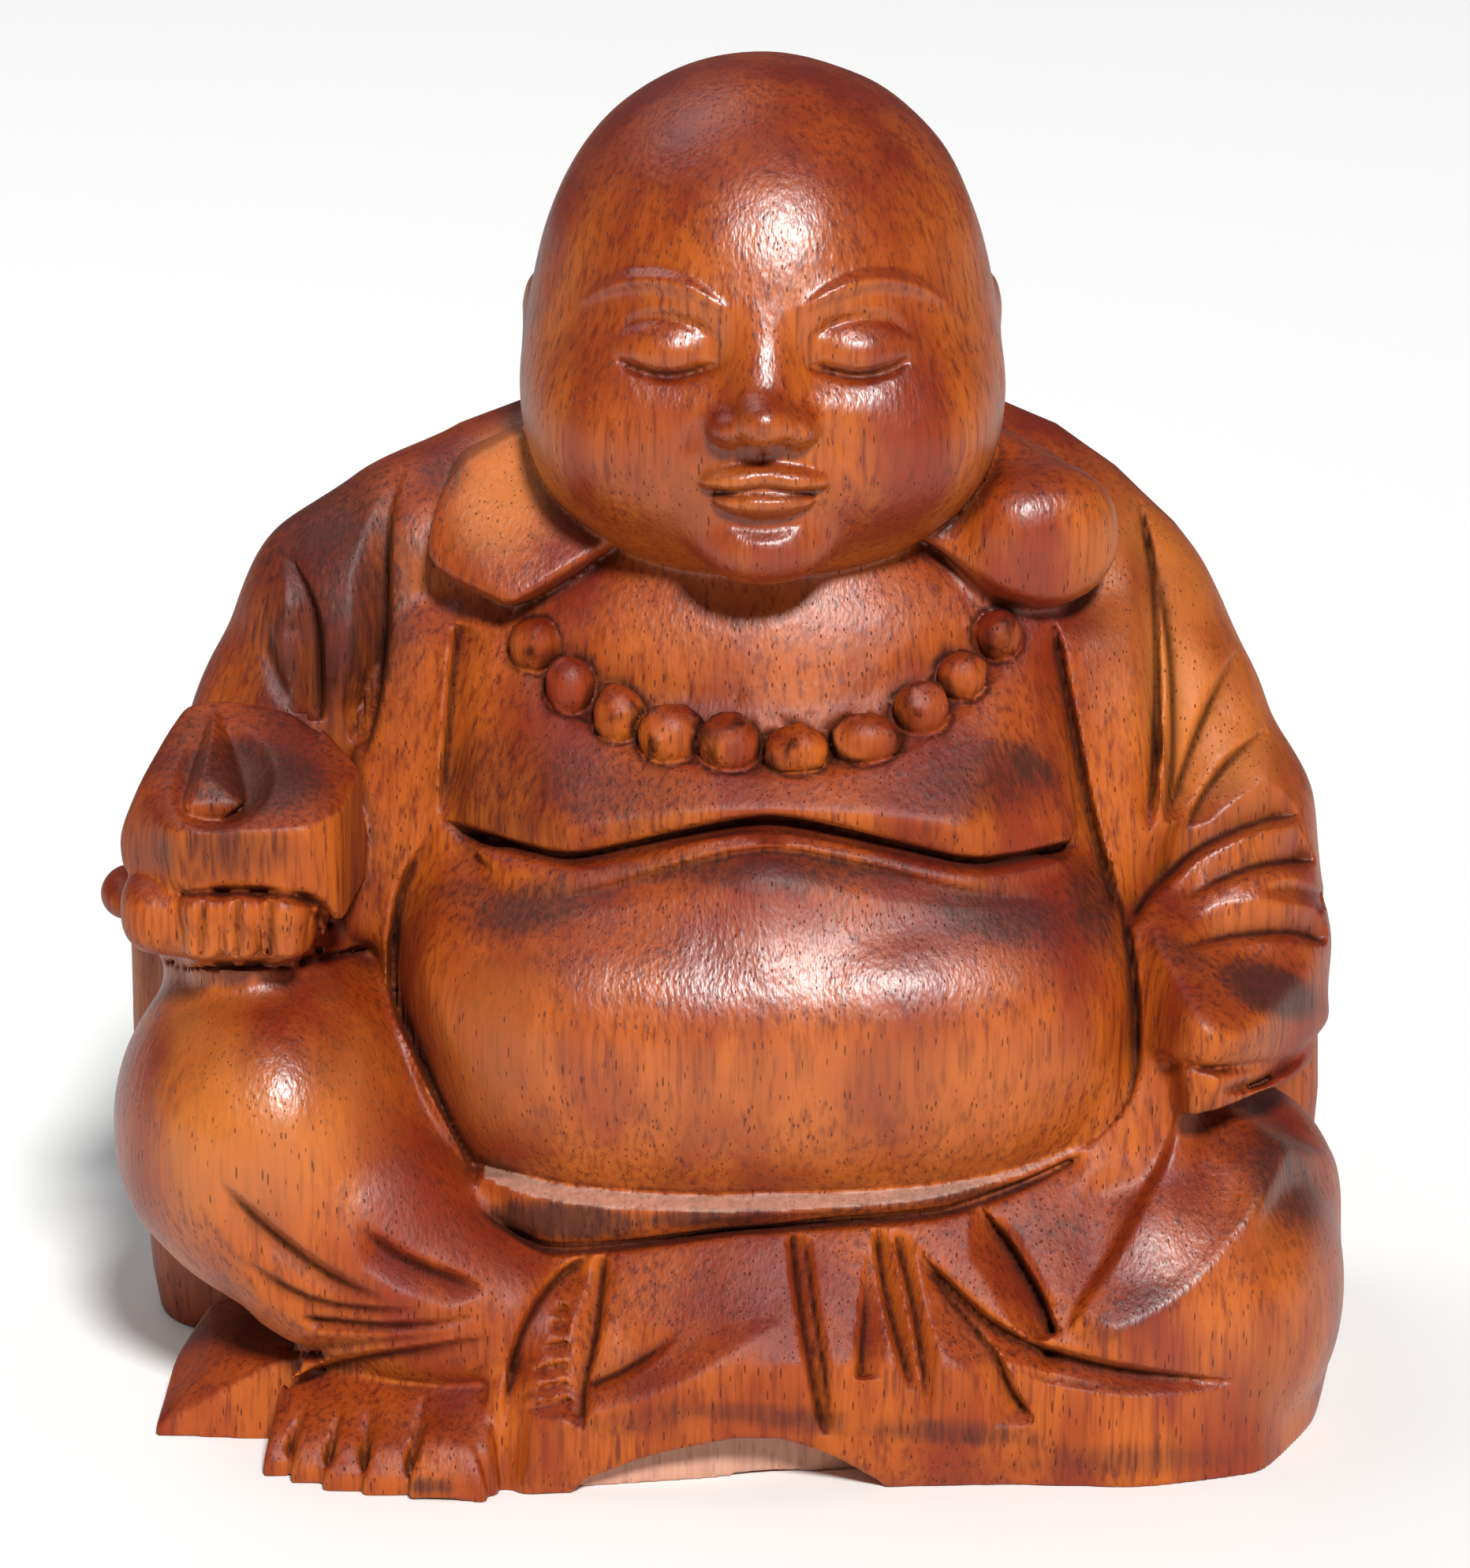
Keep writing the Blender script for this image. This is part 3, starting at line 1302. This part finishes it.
sawn = (spots[:, 2] < 14.5) & (np.abs(spots[:, 0]) < 26)
sawn &= np.abs(spots[:, 1] - BASE_FACE[0][1] - turn_in * (spots[:, 0] + 25)) < 0.8
bare = mesh.attributes.new("bare", "FLOAT", "POINT")
rim_edge = np.array(SASH_RIM)
on_rim = (normals[:, 2] > 0.5) & (spots[:, 1] < -30)
on_rim &= np.abs(spots[:, 2] - np.interp(spots[:, 0], rim_edge[:, 0], rim_edge[:, 2]) - 0.8) < 1.6
on_rim &= (spots[:, 0] > -33.5) & (spots[:, 0] < 48)
bare.data.foreach_set("value", np.maximum(sawn, on_rim * 0.6).astype(np.float32))
drawn, far = on_drawing(spots)


def spread(blots):
    """How much of a finish each point has, from blots (x, y, half width, half height, turn, share)."""
    total = np.zeros(count)
    for across, down, wide, tall, turn, strength in blots:
        c, s = math.cos(math.radians(turn)), math.sin(math.radians(turn))
        dx, dy = drawn[:, 0] - across, drawn[:, 1] - down
        away = ((dx * c + dy * s) / wide) ** 2 + ((dy * c - dx * s) / tall) ** 2
        total = np.maximum(total, strength * np.exp(-(away**2)))
    return (total * (spots[:, 1] < 12)).astype(np.float32)


stain = spread(STREAKS)
SAPWOOD = (
    (300, 1390, 170, 170, 0, 0.8),
    (1500, 850, 90, 220, -20, 1.0),
    (1090, 1400, 330, 90, 0, 0.2),
    (640, 1330, 90, 120, 0, 0.4),
    (640, 620, 60, 90, 20, 0.8),
    (900, 640, 140, 60, 0, 0.4),
    (1620, 1640, 70, 170, 0, 0.4),
)
sap = mesh.attributes.new("sap", "FLOAT", "POINT")
sap.data.foreach_set("value", spread(SAPWOOD))
POLISHED = (
    (980, 1330, 420, 150, 0, 1.0),
    (300, 1400, 200, 200, 0, 1.0),
    (1590, 1640, 170, 220, 0, 0.8),
    (966, 420, 330, 390, 0, 1.0),
    (1600, 1150, 120, 170, 0, 0.7),
    (640, 660, 110, 120, 0, 0.7),
    (1310, 670, 110, 120, 0, 0.8),
)
polish = mesh.attributes.new("polish", "FLOAT", "POINT")
polish.data.foreach_set("value", spread(POLISHED))
heart = mesh.attributes.new("heart", "FLOAT", "POINT")
heart.data.foreach_set("value", stain)

# %% [markdown]
# ## The wood
# Red-brown hardwood with long open pores and a satin lacquer. The pores are real tubes that run up
# the trunk, so they are made in three dimensions: a stretched cellular pattern cuts dashes on
# upright faces and dots on level ones by itself. Sizes are the wood's own, in millimetres.

# %% Node helpers
def linear(code):
    """An sRGB hex colour as linear red, green, blue and alpha."""
    shares = [int(code[i : i + 2], 16) / 255 for i in (1, 3, 5)]
    return (*[s / 12.92 if s <= 0.04045 else ((s + 0.055) / 1.055) ** 2.4 for s in shares], 1.0)


def start_material(name):
    material = bpy.data.materials.new(name)
    material.use_nodes = True
    tree = material.node_tree

    def add(kind, inputs=None, **settings):
        node = tree.nodes.new("ShaderNode" + kind)
        for key, value in settings.items():
            setattr(node, key, value)
        for socket, value in (inputs or {}).items():
            if isinstance(value, bpy.types.NodeSocket):
                tree.links.new(value, node.inputs[socket])
            else:
                node.inputs[socket].default_value = value
        return node

    def maths(operation, *values, clamp=False):
        node = add("Math", dict(enumerate(values)), operation=operation, use_clamp=clamp)
        return node.outputs[0]

    def mix(share, first, second, blend="MIX"):
        values = {0: share, 6: first, 7: second}
        return add("Mix", values, data_type="RGBA", blend_type=blend).outputs[2]

    def ramp(value, low, high):
        """0 where the value is at or under low, 1 from high on, with an easy slope between."""
        values = {"Value": value, "From Min": low, "From Max": high}
        return add("MapRange", values, interpolation_type="SMOOTHSTEP").outputs[0]

    return material, tree, add, maths, mix, ramp


# %% Wood
wood, tree, add, maths, mix, ramp = start_material("lacquered_hardwood")
shader = tree.nodes["Principled BSDF"]
place = add("TexCoord").outputs["Object"]
PER_MM = 1000.0


def stretched(x, y, z):
    """The place, measured in steps of so many millimetres along each axis."""
    values = {0: place, 1: (PER_MM / x, PER_MM / y, PER_MM / z)}
    return add("VectorMath", values, operation="MULTIPLY").outputs[0]


def noise(scale, detail=2.0, rough=0.5):
    values = {"Vector": stretched(*scale), "Scale": 1.0, "Detail": detail, "Roughness": rough}
    return add("TexNoise", values).outputs["Fac"]


figure_bands = noise((13, 13, 32), 3)
fibres = noise((0.9, 0.9, 16), 3, 0.6)
patches = noise((22, 22, 34), 2)

# growth rings round a pith that lies behind the block, bent by the patches
pith = add("VectorMath", {0: stretched(9, 9, 90), 1: (9.0, 14.0, 0)}, operation="ADD").outputs[0]
radius = add("VectorMath", {0: pith}, operation="LENGTH").outputs["Value"]
rings = maths("FRACT", maths("ADD", radius, maths("MULTIPLY", patches, 3.0)))
ring = ramp(rings, 0.0, 1.0)

ORANGE = linear("#ad5410")
RED = linear("#812a0a")
DARK = linear("#34140f")
GRAIN_END = linear("#b98262")
base = mix(ramp(figure_bands, 0.35, 0.68), ORANGE, RED)
base = mix(maths("MULTIPLY", ring, 0.2), base, RED)
base = mix(ramp(fibres, 0.42, 0.78), base, linear("#6a240a"))

# level faces show end grain, which drinks more of the finish and turns redder
facing = add("SeparateXYZ", {0: add("NewGeometry").outputs["Normal"]}).outputs["Z"]
upward = ramp(facing, 0.12, 0.78)
base = mix(maths("MULTIPLY", upward, 0.75), base, GRAIN_END, "MULTIPLY")

sap_share = add("Attribute", attribute_name="sap").outputs["Fac"]
sap_share = maths("MULTIPLY", sap_share, ramp(patches, 0.3, 0.6))
base = mix(maths("MULTIPLY", sap_share, 0.6), base, linear("#cf7a30"))
heart_share = add("Attribute", attribute_name="heart").outputs["Fac"]
torn = maths("ADD", maths("MULTIPLY", fibres, 1.1), maths("MULTIPLY", patches, 0.9))
ragged = maths("MULTIPLY", heart_share, torn)
base = mix(maths("MULTIPLY", ramp(ragged, 0.12, 0.95), 0.85), base, DARK)

cells = {"Vector": stretched(0.62, 0.62, 4.6), "Scale": 1.0, "Randomness": 1.0}
tubes = add("TexVoronoi", cells, feature="F1", voronoi_dimensions="3D")
size = add("SeparateXYZ", {0: tubes.outputs["Color"]}).outputs["X"]
tube = maths("DIVIDE", tubes.outputs["Distance"], maths("ADD", maths("MULTIPLY", size, 0.13), 0.07))
pore = ramp(tube, 1.25, 0.75)
base = mix(maths("MULTIPLY", pore, 0.72), base, linear("#3a1710"))

shut_in = ramp(add("Attribute", attribute_name="crevice").outputs["Fac"], 0.38, 0.95)
base = mix(maths("MULTIPLY", shut_in, 0.6), base, linear("#2a0f08"))
inked = ramp(add("Attribute", attribute_name="ink").outputs["Fac"], 0.05, 0.85)
base = mix(maths("MULTIPLY", inked, 0.85), base, linear("#1d0b07"))

heights = maths("ADD", maths("MULTIPLY", fibres, 0.12), maths("MULTIPLY", noise((4, 4, 6), 1), 0.28))
heights = maths("ADD", heights, maths("MULTIPLY", noise((0.6, 0.6, 2.4), 1), 0.15))
heights = maths("SUBTRACT", heights, maths("MULTIPLY", pore, 0.22))
bump = add("Bump", {"Height": heights, "Distance": 0.0006, "Strength": 0.9}).outputs[0]

bare_share = add("Attribute", attribute_name="bare").outputs["Fac"]
pale = maths("SUBTRACT", 1.05, maths("MULTIPLY", fibres, 0.7))
base = mix(maths("MULTIPLY", bare_share, pale), base, linear("#c39a84"))

tree.links.new(base, shader.inputs["Base Color"])
tree.links.new(bump, shader.inputs["Normal"])
gloss = maths("ADD", maths("MULTIPLY", pore, 0.25), maths("MULTIPLY", patches, 0.12))
gloss = maths("ADD", gloss, maths("MULTIPLY", inked, 0.35))
polished = add("Attribute", attribute_name="polish").outputs["Fac"]
gloss = maths("SUBTRACT", gloss, maths("MULTIPLY", polished, 0.17))
tree.links.new(maths("ADD", gloss, 0.46), shader.inputs["Roughness"])
clean = maths("SUBTRACT", 1.0, maths("MULTIPLY", inked, 0.8))
shine = maths("MULTIPLY", clean, maths("ADD", 0.3, maths("MULTIPLY", polished, 0.22)))
tree.links.new(shine, shader.inputs["Specular IOR Level"])
coat = maths("MULTIPLY", polished, maths("SUBTRACT", 0.12, maths("MULTIPLY", inked, 0.12)))
tree.links.new(coat, shader.inputs["Coat Weight"])
shader.inputs["IOR"].default_value = 1.5
shader.inputs["Coat Roughness"].default_value = 0.22
tree.links.new(bump, shader.inputs["Coat Normal"])
mesh.materials.clear()
mesh.materials.append(wood)
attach(figure, "root")
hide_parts(NODE)

# %% [markdown]
# ## In the shared frame
# The drawing's millimetres and the CAD's differ by a small move. The figure's own box is centred on
# the CAD's, so both stand on the same ground, and the camera's target moves with it.

# %% Fit to the frame
low, high = spots.min(0) * MM, spots.max(0) * MM
move = (np.array(cad_low) + np.array(cad_high) - low - high) / 2
move[2] = cad_low[2] - low[2]
fitted = (spots * MM + move).astype(np.float32)
mesh.vertices.foreach_set("co", fitted.ravel())
mesh.update()
print("figure's box in mm:", ((high - low) / MM).round(1), "moved by", (move / MM).round(2))

# %% Floor
bpy.ops.mesh.primitive_plane_add(size=5.0)
floor = bpy.context.object
floor.name = "floor"
paper, tree, add, maths, mix, ramp = start_material("floor")
tree.nodes["Principled BSDF"].inputs["Base Color"].default_value = linear("#ececea")
tree.nodes["Principled BSDF"].inputs["Roughness"].default_value = 0.8
floor.data.materials.append(paper)

# %% Light
world = bpy.data.worlds.new("studio")
bpy.context.scene.world = world
world.use_nodes = True
world.node_tree.nodes["Background"].inputs[0].default_value = linear("#e8edf4")
world.node_tree.nodes["Background"].inputs[1].default_value = 0.16


def lamp(name, where, size, power):
    light = bpy.data.objects.new(name, bpy.data.lights.new(name, "AREA"))
    bpy.context.scene.collection.objects.link(light)
    light.data.shape = "DISK"
    light.data.size = size
    light.data.energy = power
    light.location = where
    light.rotation_euler = (Vector((0, 0, 0.09)) - light.location).to_track_quat("-Z", "Y").to_euler()
    return light


sun = bpy.data.objects.new("sun", bpy.data.lights.new("sun", "SUN"))
bpy.context.scene.collection.objects.link(sun)
sun.data.angle = math.radians(9)
sun.data.energy = 4.6
sun.rotation_euler = Vector((-0.2, 1.0, -0.84)).to_track_quat("-Z", "Y").to_euler()
lamp("sky", (-0.5, 0.35, 1.3), 0.9, 4.5)

# %% Camera
camera = bpy.data.objects.new("camera", bpy.data.cameras.new("camera"))
bpy.context.scene.collection.objects.link(camera)
target = TARGET * MM + move
camera.location = Vector(target - FORWARD * DISTANCE * MM)
camera.rotation_euler = Vector(FORWARD).to_track_quat("-Z", "Y").to_euler()
camera.data.sensor_width = 36
camera.data.lens = 36 * DISTANCE / (PHOTO[1] * PIXEL_MM)
camera.data.clip_start = 0.01
bpy.context.scene.camera = camera
bpy.context.scene.view_settings.view_transform = "Standard"
